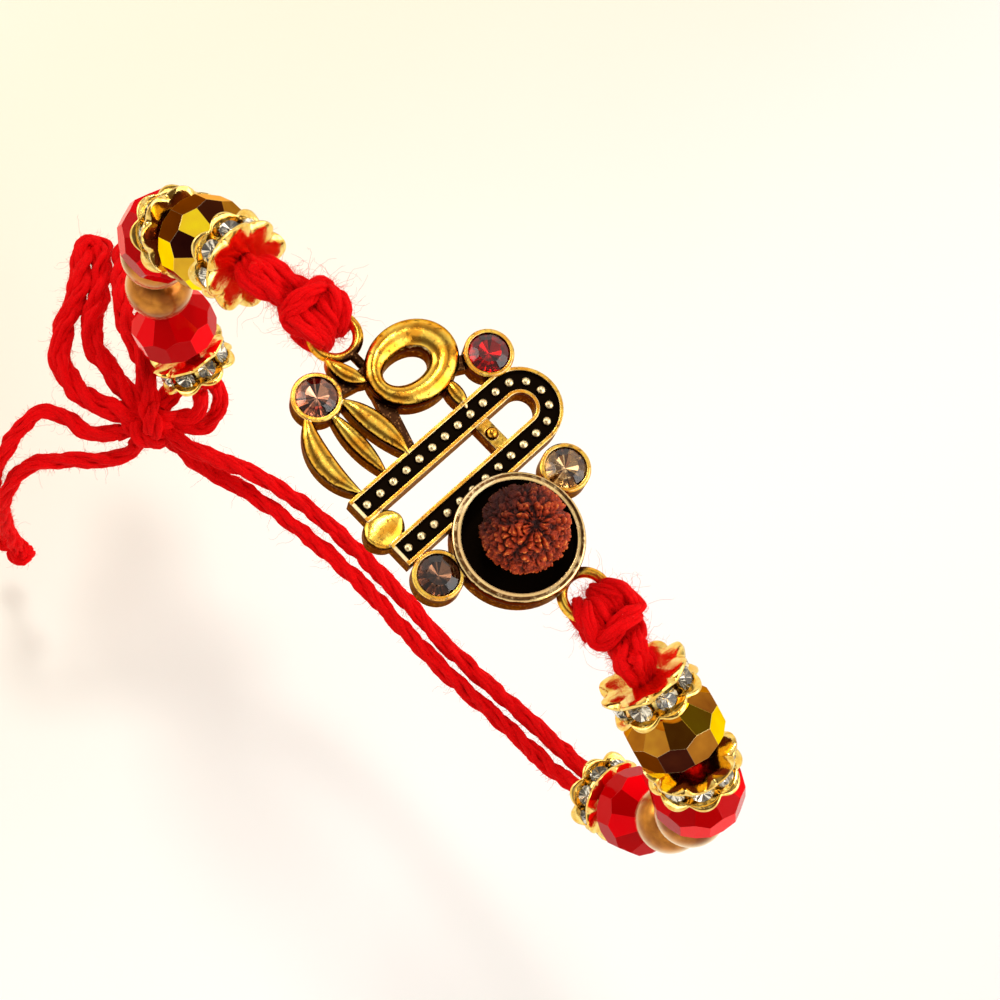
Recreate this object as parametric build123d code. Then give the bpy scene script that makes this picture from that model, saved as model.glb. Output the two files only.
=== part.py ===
from build123d import *
import os
from collections import namedtuple
from math import asin, atan2, cos, degrees, hypot, pi, radians, sin, tan

os.makedirs("parts", exist_ok=True)

# Frame: the origin is the middle of the wrist hollow. +X runs along the front of the bracelet,
# +Y along the wrist, and +Z out through the charm. Lengths are millimetres, angles degrees.

# Oval that the string of beads follows round the wrist, in the plane Y = 0
oval_half_width = 34.4
oval_half_height = 23.85
oval_squareness = 2.3           # 2 would be a plain ellipse
first_bead_run = 7.3            # from the middle of the right yarn ring to where the first beads begin
joint_gap = 0.32                # left between one bead and the next, along the string

# Beads
crystal_radius = 4.0
crystal_length = 5.8
crystal_end_radius = 1.95       # flat end of a cut crystal
crystal_belt = 1.9              # height of the straight middle row of facets
crystal_sides = 10
pearl_radius = 3.12
rondelle_radius = 4.05          # over the scallops of its two rims
rondelle_length = 3.0
rondelle_rim = 0.5              # thickness of each rim
rondelle_core_radius = 2.45
rondelle_scallop_radius = 1.35
rondelle_stones = 8
rondelle_stone_radius = 0.88
rondelle_dish_radius = 3.1      # hollowed end face
rondelle_dish_depth = 0.5
stone_crown = 0.36              # a cut stone's crown and girdle, as shares of its radius
stone_girdle = 0.14
bead_bore = 1.06                # radius of the drilled holes
thread_radius = 0.8             # two strands squeezed together inside the beads
fit_gap = 0.05                  # small clearance between pieces that lie close together

# Charm: one antiqued casting
charm_lift = 0.1                # its front face lies this much above where the first beads begin
casting_depth = 2.0
arch_x = 0.7                    # middle of the beaded arch
arch_rise = 8.3                 # its centre above the string's line
arch_spacing = 2.36             # from its middle to the middle of each bar
bar_width = 2.25
bar_foot = -7.6
rim_width = 0.3                 # raised edge of the bars and the arch
ground_depth = 0.4              # blackened ground between those edges
dot_radius = 0.42
dot_pitch = 1.42
cup_radius = 5.4
cup_wall = 0.72
cup_floor = 0.7
cup_lip = 0.6                   # the cup stands this much above the face
cup_lap = 1.2                   # how far the cup covers the right bar
cup_y = 0.4
bezel_radius = 2.1
bezel_lip = 0.15
bezel_lap = 0.35                # how far a bezel runs into the cup or the arch
bezel_chamfer = 0.12
stone_radius = 1.68
stone_seat = 1.2
stone_sink = 0.1                # top of a stone's girdle under the bezel's lip
mango_half_width = 3.55         # oval ring on the left
mango_half_height = 4.15
mango_side_wall = 2.23          # its band at the sides
mango_foot_wall = 1.4275        # its band at the foot, where it is narrowest
mango_hole_drop = 0.15          # its hole lies lower than its middle, in half heights
mango_y = 4.3
mango_gap = 1.62                # between the oval ring and the left bar
mango_roundness = 0.55          # radius that rounds the top of its band
lug_radius = 1.9                # yarn ring, to the middle of its wire
lug_wire = 0.45
lug_drop = 1.3                  # its middle lies this far under the face
lug_y = 1.5
lug_reach = 0.1                 # gap that a short neck fills between ring and casting
web_width = 1.3
web_drop = 0.8                  # webs between the ornaments lie under the face
ornament_chamfer = 0.3          # bevel along the leaves and petals

# Rudraksha bead
seed_radius = 3.6
seed_shift = 0.2                # it sits this much above the middle of its cup
seed_clefts = 5
cleft_width = 0.3

# Yarn
yarn_radius = 0.95
hitch_yarn_radius = 0.8         # pulled tight round the ring
hitch_spread = 30               # angle on the ring from its tip to each turn of yarn
hitch_reach = 3.3               # from the middle of the ring to the bight over the strands
swell_radius = 1.3              # where the squeezed strands widen again outside the end beads
swell_reach = 1.2               # its middle, from the end of the squeezed length
strand_gap = 0.2                # from that swelling to the two strands that leave it
strand_reach = 5.0              # from the middle of a yarn ring to where its two strands begin
bend_share = 0.45               # share of the shorter run that a bend takes up
tie_yarn_radius = 0.8           # yarn behind the wrist
knot_radius = 2.8
knot_gap = 0.25                 # from the knot to each strand that leaves it
end_knot_radius = 1.6

# Tie behind the wrist, at the left. Its points are counted from the middle of its knot, in radii of
# the knot, and each route is a few points between two places where it leaves the knot.
knot_offset = (-0.32, -2.14, -1.61)     # from the swelling at the left string's end
BOW_LOOPS = {
    "bow_loop_long": [
        (-2.07, -1.21, 0.29), (-3.46, -1.14, 0.54), (-4.5, -0.14, 0.64), (-5.14, 1.18, 0.5),
        (-5.96, 2.04, 0.18), (-6.82, 2.82, -0.25), (-6.32, 3.32, -0.25), (-5.46, 2.54, 0.14),
        (-4.5, 1.54, 0.54), (-3.82, 0.5, 0.75), (-2.89, 0.14, 0.68),
    ],
    "bow_loop_short": [
        (-1.54, 1.11, 1.29), (-2.82, 1.46, 1.36), (-3.86, 2.07, 1.18), (-4.79, 2.93, 0.71),
        (-5.57, 3.64, 0.14), (-5.07, 4.14, 0.18), (-4.29, 3.5, 0.68), (-3.29, 2.79, 1.14),
        (-1.82, 2.29, 0.46), (-0.5, 1.71, 0.14),
    ],
}
TIE_ENDS = {
    "tie_end_long": [
        (-1.07, -1.79, -0.71), (-2.54, -2.0, -0.44), (-3.11, -2.65, -0.44), (-2.97, -3.72, -0.73),
        (-2.86, -4.61, -1.44), (-2.9, -5.07, -3.01), (-3.01, -5.15, -5.33), (-2.76, -4.97, -7.66),
        (-2.94, -5.15, -9.98),
    ],
    "tie_end_short": [
        (0.11, -1.29, -1.46), (-1.22, -2.72, -1.44), (-2.19, -3.93, -1.66), (-2.19, -4.86, -2.51),
        (-2.22, -5.32, -4.08), (-2.15, -5.43, -6.23), (-1.76, -5.36, -8.23),
    ],
}
LEFT_BACK_ROUTES = [
    [(0.93, 1.57, 0.75), (0.93, 1.21, 0.36)],
    [(0.86, 2.46, 0.82), (1.29, 2.07, -0.07), (1.25, 1.36, -0.54)],
]

# Strands from the right string under the wrist to the knot, as shares of the oval's half width
# across it and along the wrist, and of its half height
RIGHT_BACK_ROUTES = [
    [
        (0.712, -0.035, -0.813), (0.509, -0.017, -0.948), (0.233, -0.032, -1.019), (-0.058, -0.02, -1.031),
        (-0.349, -0.047, -1.027), (-0.535, -0.084, -1.036), (-0.651, -0.134, -1.01),
    ],
    [
        (0.715, 0.029, -0.805), (0.5, 0.038, -0.931), (0.221, 0.023, -1.002), (-0.07, 0.038, -1.01),
        (-0.337, 0.017, -0.99), (-0.517, -0.035, -0.948), (-0.663, -0.134, -0.839),
    ],
]

Bead = namedtuple("Bead", "kind number spin")
STRING = [
    Bead(kind="rondelle", number=1, spin=10),
    Bead(kind="gold_crystal", number=1, spin=5),
    Bead(kind="rondelle", number=2, spin=31),
    Bead(kind="red_crystal", number=1, spin=14),
    Bead(kind="pearl", number=1, spin=0),
    Bead(kind="pearl", number=2, spin=40),
    Bead(kind="red_crystal", number=2, spin=27),
    Bead(kind="rondelle", number=3, spin=3),
]
BEAD_LENGTH = {
    "rondelle": rondelle_length, "gold_crystal": crystal_length,
    "red_crystal": crystal_length, "pearl": 2 * pearl_radius,
}

# Places that follow from the sizes above
bar_right_x = arch_x + arch_spacing
bar_left_x = arch_x - arch_spacing
right_face_x = bar_right_x + bar_width / 2
left_face_x = bar_left_x - bar_width / 2
cup_x = right_face_x - cup_lap + cup_radius
mango_x = left_face_x - mango_gap - mango_half_width
ring_left_x = mango_x - mango_half_width - lug_reach - lug_radius - lug_wire
ring_right_x = cup_x + cup_radius + lug_radius - lug_wire
first_bead_x = ring_right_x + first_bead_run
first_bead_share = 1 - (first_bead_x / oval_half_width) ** oval_squareness
charm_face = oval_half_height * first_bead_share ** (1 / oval_squareness) + charm_lift
charm_back = charm_face - casting_depth
lug_height = charm_face - lug_drop
bridge_y = 0.6 * arch_rise
cup_reach = cup_radius + bezel_radius - bezel_lap
arch_reach = arch_spacing + bar_width / 2 + bezel_radius - bezel_lap
stone_left_drop = 1.75 * bezel_radius

Setting = namedtuple("Setting", "name x y")

# Petals of the half lotus, in radii of a bezel from the middle of the left stone
Petal = namedtuple("Petal", "start_x start_y end_y width bow top")
PETALS = [
    Petal(start_x=0.52, start_y=0.57, end_y=1.1, width=0.9, bow=0.17, top=0.05),
    Petal(start_x=0.57, start_y=0.0, end_y=-0.05, width=0.71, bow=0.0, top=-0.07),
    Petal(start_x=0.1, start_y=-0.62, end_y=-1.24, width=0.9, bow=-0.6, top=0.0),
]


def polar(x, y, reach, angle):
    return x + reach * cos(radians(angle)), y + reach * sin(radians(angle))


SETTINGS = [
    Setting("stone_left", mango_x - 0.8 * mango_half_width, mango_y - mango_half_height - stone_left_drop),
    Setting("stone_red", *polar(arch_x, arch_rise, arch_reach, 166)),
    Setting("stone_right_upper", *polar(cup_x, cup_y, cup_reach, 103)),
    Setting("stone_right_lower", *polar(cup_x, cup_y, cup_reach, -107)),
]
stone_left = SETTINGS[0]
stone_red = SETTINGS[1]

# Where each yarn ring lies, and which way its yarn pulls
Lug = namedtuple("Lug", "side x pull")
LUGS = [
    Lug(side="left", x=ring_left_x, pull=-1),
    Lug(side="right", x=ring_right_x, pull=1),
]


# String of beads
def oval_point(angle):
    """Point of the oval, its angle counted from the top towards +X."""
    across, up = sin(angle), cos(angle)
    power = 2 / oval_squareness
    x = oval_half_width * abs(across) ** power * (1 if across > 0 else -1)
    z = oval_half_height * abs(up) ** power * (1 if up > 0 else -1)
    return x, z


def step_along(angle, chord):
    """Angle of the oval's next point that lies a chord further on."""
    x, z = oval_point(angle)
    low, high = angle, angle + pi / 2
    for _ in range(40):
        middle = (low + high) / 2
        next_x, next_z = oval_point(middle)
        if hypot(next_x - x, next_z - z) < chord:
            low = middle
        else:
            high = middle
    return low


def string_joints():
    """Points of the right-hand string where one bead ends and the next begins."""
    angle = asin((first_bead_x / oval_half_width) ** (oval_squareness / 2))
    joints = [oval_point(angle)]
    for bead in STRING:
        angle = step_along(angle, BEAD_LENGTH[bead.kind] + joint_gap)
        joints.append(oval_point(angle))
    return joints


def bead_place(start, end, side, spin):
    """Middle of a bead between two joints, with its hole along the string."""
    middle = (side * (start[0] + end[0]) / 2, 0, (start[1] + end[1]) / 2)
    along = (side * (end[0] - start[0]), 0, end[1] - start[1])
    return Plane(origin=middle, x_dir=(0, 1, 0), z_dir=along).location * Rot(0, 0, spin)


def facet_cone(low_radius, high_radius, height, sides):
    """Straight-sided pyramid stump from z = 0 up, its corners' radii given below and above."""
    low = RegularPolygon(low_radius, sides)
    high = Pos(0, 0, height) * RegularPolygon(high_radius, sides)
    return loft([low.face(), high.face()], ruled=True)


def cut_crystal():
    """Round-cut glass bead: a belt of long facets and a row of half-stepped ones at each end."""
    half = crystal_length / 2
    corner = 1 / cos(pi / crystal_sides)
    slope = (crystal_radius - crystal_end_radius) / (half - crystal_belt / 2)
    wide = crystal_end_radius + slope * crystal_length
    belt = Pos(0, 0, -half) * extrude(RegularPolygon(crystal_radius, crystal_sides), amount=crystal_length)
    shoulder = facet_cone(corner * wide, corner * crystal_end_radius, crystal_length, crystal_sides)
    upper = Pos(0, 0, -half) * shoulder
    lower = Rot(180, 0, 0) * upper
    half_step = Rot(0, 0, 180 / crystal_sides)
    ends = (half_step * upper) & (half_step * lower)
    return (belt & ends) - Cylinder(bead_bore, 2 * crystal_length)


def pearl():
    return Sphere(pearl_radius) - Cylinder(bead_bore, 3 * pearl_radius)


def rondelle():
    """Spacer of two scalloped gold rims on one core, hollowed at each end."""
    stone_angle = 360 / rondelle_stones
    scallop_reach = rondelle_radius - rondelle_scallop_radius
    outline = Circle(scallop_reach + 0.45 * rondelle_scallop_radius)
    for index in range(rondelle_stones):
        outline += Rot(0, 0, index * stone_angle) * Pos(scallop_reach, 0) * Circle(rondelle_scallop_radius)
    rim = extrude(outline, amount=rondelle_rim)
    half = rondelle_length / 2
    body = Cylinder(rondelle_core_radius, rondelle_length)
    body += Pos(0, 0, half - rondelle_rim) * rim
    body += Pos(0, 0, -half) * rim
    dish = Cone(bead_bore, rondelle_dish_radius, rondelle_dish_depth)
    dish = Pos(0, 0, half - rondelle_dish_depth / 2) * dish
    return body - dish - Rot(180, 0, 0) * dish - Cylinder(bead_bore, 2 * rondelle_length)


def brilliant(radius, pavilion, table_share):
    """Cut stone, table up, with the top of its girdle at z = 0."""
    sides = 8
    girdle = stone_girdle * radius
    body = facet_cone(radius, table_share * radius, stone_crown * radius, sides)
    body += Pos(0, 0, -girdle) * facet_cone(radius, radius, girdle, sides)
    return body + Pos(0, 0, -girdle) * Rot(180, 0, 0) * facet_cone(radius, 0.2 * radius, pavilion, sides)


def rondelle_stone_ring():
    """Stones round a rondelle, tables outwards, clear of its core and rims."""
    pavilion = 0.57 * rondelle_stone_radius
    seat = rondelle_core_radius + fit_gap + pavilion + stone_girdle * rondelle_stone_radius
    outwards = Pos(seat, 0, 0) * Rot(0, 90, 0) * brilliant(rondelle_stone_radius, pavilion, 0.6)
    return [Rot(0, 0, index * 360 / rondelle_stones) * outwards for index in range(rondelle_stones)]


# Charm
def leaf(start, end, width, bow=0.0):
    """Pointed leaf between two points of the charm, bowed to the left of its way."""
    run_x, run_y = end[0] - start[0], end[1] - start[1]
    length = hypot(run_x, run_y)
    side_x, side_y = -run_y / length, run_x / length
    middle = ((start[0] + end[0]) / 2, (start[1] + end[1]) / 2)
    left, right = bow + width / 2, bow - width / 2
    one = ThreePointArc(start, (middle[0] + left * side_x, middle[1] + left * side_y), end)
    two = ThreePointArc(end, (middle[0] + right * side_x, middle[1] + right * side_y), start)
    return make_face([one, two])


def raised(sketch, top=0.0, chamfer_size=0.0):
    """Solid from the charm's back up to a height over or under its face."""
    body = Pos(0, 0, charm_back) * extrude(sketch, amount=casting_depth + top)
    if chamfer_size:
        body = chamfer(body.faces().sort_by(Axis.Z)[-1].edges(), chamfer_size)
    return body


def web(start, end):
    """Plain low bar that joins two ornaments behind their faces."""
    length = hypot(end[0] - start[0], end[1] - start[1])
    turn = degrees(atan2(end[1] - start[1], end[0] - start[0]))
    middle = Pos((start[0] + end[0]) / 2, (start[1] + end[1]) / 2)
    return raised(middle * Rot(0, 0, turn) * Rectangle(length, web_width), -web_drop)


def hairpin(half_width, foot):
    """Round-headed strip about the middle of the arch, down to its foot."""
    height = arch_rise - foot
    strip = Pos(arch_x, arch_rise - height / 2) * Rectangle(2 * half_width, height)
    return strip + Pos(arch_x, arch_rise) * Circle(half_width)


def dot_places():
    """Evenly spaced places up the left bar, round the arch and down the right bar."""
    bar = arch_rise - bar_foot - 0.9 * bar_width / 2
    bend = pi * arch_spacing
    count = round((2 * bar + bend) / dot_pitch)
    for index in range(count + 1):
        run = (2 * bar + bend) * index / count
        if run < bar:
            yield bar_left_x, arch_rise - bar + run
        elif run < bar + bend:
            turn = pi - (run - bar) / arch_spacing
            yield arch_x + arch_spacing * cos(turn), arch_rise + arch_spacing * sin(turn)
        else:
            yield bar_right_x, arch_rise - (run - bar - bend)


def beaded_arch():
    """Two straight bars and a round arch with raised edges and a row of dots on a sunk ground."""
    outer, inner = arch_spacing + bar_width / 2, arch_spacing - bar_width / 2
    body = raised(hairpin(outer, bar_foot) - hairpin(inner, bar_foot - 1))
    ground = hairpin(outer - rim_width, bar_foot + rim_width) - hairpin(inner + rim_width, bar_foot)
    body -= Pos(0, 0, charm_face - ground_depth) * extrude(ground, amount=2 * ground_depth)
    dot = Sphere(dot_radius)
    for x, y in dot_places():
        body += Pos(x, y, charm_face - ground_depth) * dot
    return body


def mango_ring():
    """Smooth oval ring with a half-round band and a leaf-shaped tail."""
    drop = mango_hole_drop * mango_half_height
    hole_half_width = mango_half_width - mango_side_wall
    hole_half_height = mango_half_height - drop - mango_foot_wall
    roundness = min(mango_roundness, 0.45 * mango_foot_wall)
    hole = Rot(0, 0, -8) * Ellipse(hole_half_width, hole_half_height)
    body = Pos(mango_x, mango_y) * (Ellipse(mango_half_width, mango_half_height) - Pos(0, -drop) * hole)
    body = raised(body, 0.5 * roundness)
    top = body.faces().sort_by(Axis.Z)[-1]
    body = fillet(top.edges(), roundness)
    start = (mango_x - 0.3 * mango_half_width, mango_y - 0.86 * mango_half_height)
    tip = (mango_x - 1.38 * mango_half_width, mango_y - 1.2 * mango_half_height)
    tail = leaf(start, tip, 0.42 * mango_half_width, 0.1 * mango_half_width)
    return body + raised(tail, -0.25 * ground_depth, ornament_chamfer)


def lotus_petals():
    """Half a lotus that fans from the left stone to the left bar."""
    end_x = bar_left_x - 0.3 * bar_width
    body = None
    for petal in PETALS:
        start = (stone_left.x + petal.start_x * bezel_radius, stone_left.y + petal.start_y * bezel_radius)
        end = (end_x, stone_left.y + petal.end_y * bezel_radius)
        outline = leaf(start, end, petal.width * bezel_radius, petal.bow * bezel_radius)
        shape = raised(outline, petal.top * bezel_radius, ornament_chamfer)
        body = body + shape if body else shape
    return body


def arch_bridge():
    """Low bridge between the bars with a small boss, and a drop between their feet."""
    inner = arch_spacing - bar_width / 2
    bridge = Pos(arch_x, bridge_y) * Rectangle(2 * inner + rim_width, web_width)
    body = raised(bridge, -0.5 * ground_depth)
    body += Pos(arch_x, bridge_y, charm_face - 0.5 * ground_depth) * Sphere(1.3 * dot_radius)
    drop = leaf((arch_x, bar_foot + 1.07 * bar_width), (arch_x, bar_foot - 0.5 * bar_width), 1.28 * 2 * inner)
    return body + raised(drop, -0.3 * ground_depth, ornament_chamfer)


def yarn_ring(lug):
    """Wire ring for the yarn, with a short neck into the casting."""
    ring = Pos(lug.x, lug_y, lug_height) * Torus(lug_radius, lug_wire)
    neck_length = 3.5 * lug_wire
    neck_x = lug.x - lug.pull * (lug_radius + neck_length / 2)
    neck = Pos(neck_x, lug_y, lug_height) * Rot(0, 90, 0) * Cylinder(0.9 * lug_wire, neck_length)
    return ring + neck


def cup():
    body = Pos(cup_x, cup_y) * Circle(cup_radius)
    body = raised(body, cup_lip)
    rim = body.faces().sort_by(Axis.Z)[-1].edges()
    return fillet(rim, 0.4 * cup_wall)


def make_charm():
    body = beaded_arch() + arch_bridge() + mango_ring() + lotus_petals()
    strut_start = (mango_x + 0.7 * mango_half_width, bridge_y + 0.13 * bar_width)
    strut = leaf(strut_start, (bar_left_x - 0.2 * bar_width, bridge_y), 0.58 * bar_width, 0.07 * bar_width)
    body += raised(strut, -0.25 * ground_depth, 0.8 * ornament_chamfer)
    ring_top = (mango_x + 0.6 * mango_half_width, mango_y + 0.6 * mango_half_height)
    ring_left = (mango_x - 0.5 * mango_half_width, mango_y - 0.7 * mango_half_height)
    ring_foot = (mango_x, mango_y - 0.85 * mango_half_height)
    petal_end = (bar_left_x, stone_left.y + PETALS[0].end_y * bezel_radius)
    body += web(ring_top, (stone_red.x, stone_red.y))
    body += web((stone_left.x, stone_left.y), ring_left)
    body += web(ring_foot, petal_end)
    for lug in LUGS:
        body += yarn_ring(lug)
    body += cup()
    for setting in SETTINGS:
        body += Pos(setting.x, setting.y) * raised(Circle(bezel_radius), bezel_lip, bezel_chamfer)
    hollow_depth = casting_depth + cup_lip - cup_floor
    hollow = extrude(Circle(cup_radius - cup_wall), amount=2 * hollow_depth)
    body -= Pos(cup_x, cup_y, charm_back + cup_floor) * hollow
    for setting in SETTINGS:
        seat = extrude(Circle(stone_radius + fit_gap), amount=2 * stone_seat)
        body -= Pos(setting.x, setting.y, charm_face + bezel_lip - stone_seat) * seat
    return body


def charm_stone():
    """Round cut stone that fills a bezel, its girdle just under the bezel's lip."""
    pavilion = stone_seat - stone_sink - stone_girdle * stone_radius - fit_gap
    return brilliant(stone_radius, pavilion, 0.58)


def rudraksha():
    """Round seed with clefts that run from its top to its bottom."""
    cleft = Rot(90, 0, 0) * Rot(0, 0, -90) * Torus(seed_radius, cleft_width, major_angle=180)
    body = Sphere(seed_radius)
    for index in range(seed_clefts):
        body -= Rot(0, 0, index * 360 / seed_clefts) * cleft
    return body


# Yarn
def bend_radii(points):
    """Radius of each bend of a route, as large as its two runs allow."""
    radii = []
    for before, corner, after in zip(points, points[1:], points[2:]):
        run_in = Vector(*corner) - Vector(*before)
        run_out = Vector(*after) - Vector(*corner)
        half_turn = radians(run_in.get_angle(run_out)) / 2
        radii.append(bend_share * min(run_in.length, run_out.length) / tan(half_turn))
    return radii


def tube(points, radius):
    """Round strand along straight runs joined by tangent bends."""
    if len(points) == 2:
        path = Line(*points)
    else:
        path = FilletPolyline(*points, radius=bend_radii(points))
    section = Plane(origin=path @ 0, z_dir=path % 0) * Circle(radius)
    return sweep(section, path=path)


def cord_ends(side):
    """Where one side's squeezed strands enter its first bead and leave its last, and their ways out."""
    joints = [Vector(side * x, 0, z) for x, z in string_joints()]
    inset = rondelle_dish_depth + joint_gap / 2
    front_way = (joints[0] - joints[1]).normalized()
    back_way = (joints[-1] - joints[-2]).normalized()
    return (joints[0] - front_way * inset, front_way), (joints[-1] - back_way * inset, back_way)


def bead_cord(side):
    """The strands that run squeezed through the beads of one side, and swell beyond them."""
    ends = cord_ends(side)
    middle = [Vector(side * x, 0, z) for x, z in string_joints()[1:-1]]
    body = tube([ends[0][0], *middle, ends[1][0]], thread_radius)
    for at, way in ends:
        body += Pos(at + way * swell_reach) * Sphere(swell_radius)
    return body


def strand_starts(end, toward, radius):
    """Where two strands leave the swelling at a cord's end on their way to a point, and how far aside."""
    middle = end[0] + end[1] * swell_reach
    way = (toward - middle).normalized()
    aside = (Vector(0, 1, 0) - way * way.Y).normalized() * (radius + fit_gap / 2)
    start = middle + way * (swell_radius + strand_gap)
    return (start - aside, start + aside), aside


def hitch(lug):
    """Two turns of yarn round the ring's wire and the bight that holds down the strands."""
    length = 3.2 * hitch_yarn_radius
    body = Rot(90, 0, 0) * Cylinder(hitch_yarn_radius, length)
    body += Pos(0, length / 2) * Sphere(hitch_yarn_radius)
    body += Pos(0, -length / 2) * Sphere(hitch_yarn_radius)
    body = Pos(lug.x + lug.pull * hitch_reach, lug_y, lug_height + 0.9 * hitch_yarn_radius) * body
    turn_radius = lug_wire + 2 * fit_gap + hitch_yarn_radius
    for angle in (-hitch_spread, hitch_spread):
        wire = Pos(lug.x, lug_y, lug_height) * Rot(0, 0, angle if lug.pull > 0 else 180 - angle)
        body += wire * Pos(lug_radius, 0) * Rot(90, 0, 0) * Torus(turn_radius, hitch_yarn_radius)
    return body


def front_strands(lug):
    """The two strands between the hitch and the first bead."""
    stop = Vector(lug.x + lug.pull * strand_reach, lug_y, lug_height - 0.2 * yarn_radius)
    starts, aside = strand_starts(cord_ends(lug.pull)[0], stop, yarn_radius)
    return [tube([start, stop + aside * side], yarn_radius) for start, side in zip(starts, (-1, 1))]


def knot_middle():
    at, way = cord_ends(-1)[1]
    return at + way * swell_reach + Vector(*knot_offset) * knot_radius


def by_knot(route):
    """Route from its table of places counted from the knot."""
    return [knot_middle() + Vector(*point) * knot_radius for point in route]


def by_oval(route):
    """Route from its table of shares of the oval."""
    return [Vector(x * oval_half_width, y * oval_half_width, z * oval_half_height) for x, y, z in route]


def at_knot(point):
    """Where a strand that leads to a point leaves the tie's knot."""
    return knot_middle() + (point - knot_middle()).normalized() * (knot_radius + knot_gap)


# Every piece, written under its own name
def write(name, shape):
    export_step(shape, f"parts/{name}.step")


def write_string(side_name, side):
    joints = string_joints()
    crystal = cut_crystal()
    shapes = {"gold_crystal": crystal, "red_crystal": crystal, "pearl": pearl(), "rondelle": rondelle()}
    for bead, start, end in zip(STRING, joints, joints[1:]):
        place = bead_place(start, end, side, bead.spin)
        only_one = sum(other.kind == bead.kind for other in STRING) == 1
        name = f"{bead.kind}_{side_name}" if only_one else f"{bead.kind}_{side_name}_{bead.number}"
        write(name, place * shapes[bead.kind])
        if bead.kind == "rondelle":
            stones = Compound([place * stone for stone in rondelle_stone_ring()])
            write(f"rondelle_stones_{side_name}_{bead.number}", stones)


def write_strand(name, points):
    print(name, "bend radii", [round(radius, 1) for radius in bend_radii(points)])
    write(name, tube(points, tie_yarn_radius))


def write_yarn(lug):
    write(f"bead_cord_{lug.side}", bead_cord(lug.pull))
    write(f"yarn_hitch_{lug.side}", hitch(lug))
    for index, strand in enumerate(front_strands(lug)):
        write(f"front_yarn_{lug.side}_{index + 1}", strand)
    if lug.pull < 0:
        routes = [by_knot(route) for route in LEFT_BACK_ROUTES]
    else:
        routes = [by_oval(route) for route in RIGHT_BACK_ROUTES]
    starts, _ = strand_starts(cord_ends(lug.pull)[1], (routes[0][0] + routes[1][0]) / 2, tie_yarn_radius)
    for index, (start, route) in enumerate(zip(starts, routes)):
        write_strand(f"back_yarn_{lug.side}_{index + 1}", [start, *route, at_knot(route[-1])])


def write_tie():
    write("tie_knot", Pos(knot_middle()) * Sphere(knot_radius))
    for name, table in BOW_LOOPS.items():
        route = by_knot(table)
        write_strand(name, [at_knot(route[0]), *route, at_knot(route[-1])])
    for name, table in TIE_ENDS.items():
        route = by_knot(table)
        write_strand(name, [at_knot(route[0]), *route])
        middle = route[-1] + (route[-1] - route[-2]).normalized() * (end_knot_radius + fit_gap)
        write(name.replace("tie_end", "end_knot"), Pos(middle) * Sphere(end_knot_radius))


write("charm", make_charm())
for setting in SETTINGS:
    girdle_height = charm_face + bezel_lip - stone_sink
    write(setting.name, Pos(setting.x, setting.y, girdle_height) * charm_stone())
seed_height = charm_back + cup_floor + fit_gap + seed_radius
write("rudraksha_bead", Pos(cup_x, cup_y + seed_shift, seed_height) * rudraksha())
for lug in LUGS:
    write_string(lug.side, lug.pull)
    write_yarn(lug)
write_tie()
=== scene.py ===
import math
import random
from collections import namedtuple

import bmesh
import bpy
from mathutils import Matrix, Vector, noise


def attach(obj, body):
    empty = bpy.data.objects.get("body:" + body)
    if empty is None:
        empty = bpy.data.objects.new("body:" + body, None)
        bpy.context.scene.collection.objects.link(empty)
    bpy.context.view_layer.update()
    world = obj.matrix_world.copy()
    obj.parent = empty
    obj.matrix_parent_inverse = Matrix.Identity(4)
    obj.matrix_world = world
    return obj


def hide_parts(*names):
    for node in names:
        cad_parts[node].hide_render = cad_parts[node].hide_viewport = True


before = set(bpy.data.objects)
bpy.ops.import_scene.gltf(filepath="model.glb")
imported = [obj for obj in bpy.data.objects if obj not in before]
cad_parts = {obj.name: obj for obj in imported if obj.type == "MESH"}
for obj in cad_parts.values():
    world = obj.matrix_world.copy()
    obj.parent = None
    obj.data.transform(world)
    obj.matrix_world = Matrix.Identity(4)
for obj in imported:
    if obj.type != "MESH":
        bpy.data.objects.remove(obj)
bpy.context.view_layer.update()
scene = bpy.context.scene

# Shapes are made in millimetres, in the frame of the solids, and brought to metres at the end.
MM = 0.001
FLOOR_HEIGHT = -60
FLOOR_HALF_WIDTH = 6000
SIDES = {"left": -1, "right": 1}

# The charm: the height of its face, the middles of its cup, beaded arch, oval ring and seed,
# and how far from their middles the parts of the cup and of the arch reach
CHARM_FACE = 19.5
CUP = (8.385, 0.4)
CUP_BORE = 4.80
CUP_OUTSIDE = 5.45
RIM_GROOVE = (4.94, 5.20)
ARCH = (0.7, 8.3)
BEADED_BAND = (1.65, 3.10)
OVAL_RING = (-7.955, 4.3)
SEED_MIDDLE = (8.385, 0.6, 21.85)

# Where one bead of the right-hand string ends and the next begins, as (x, z)
JOINTS = [
    (22.53, 19.40), (25.38, 17.69), (29.92, 13.59), (31.82, 10.87), (33.96, 5.13),
    (34.38, -1.41), (33.21, -7.87), (30.23, -13.22), (27.96, -15.64),
]

# Turn of each bead about its hole in degrees, and which beads are rondelles and which are pearls
SPINS = [10, 5, 31, 14, 0, 40, 27, 3]
RONDELLES = (0, 2, 7)
PEARLS = (4, 5)

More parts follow.
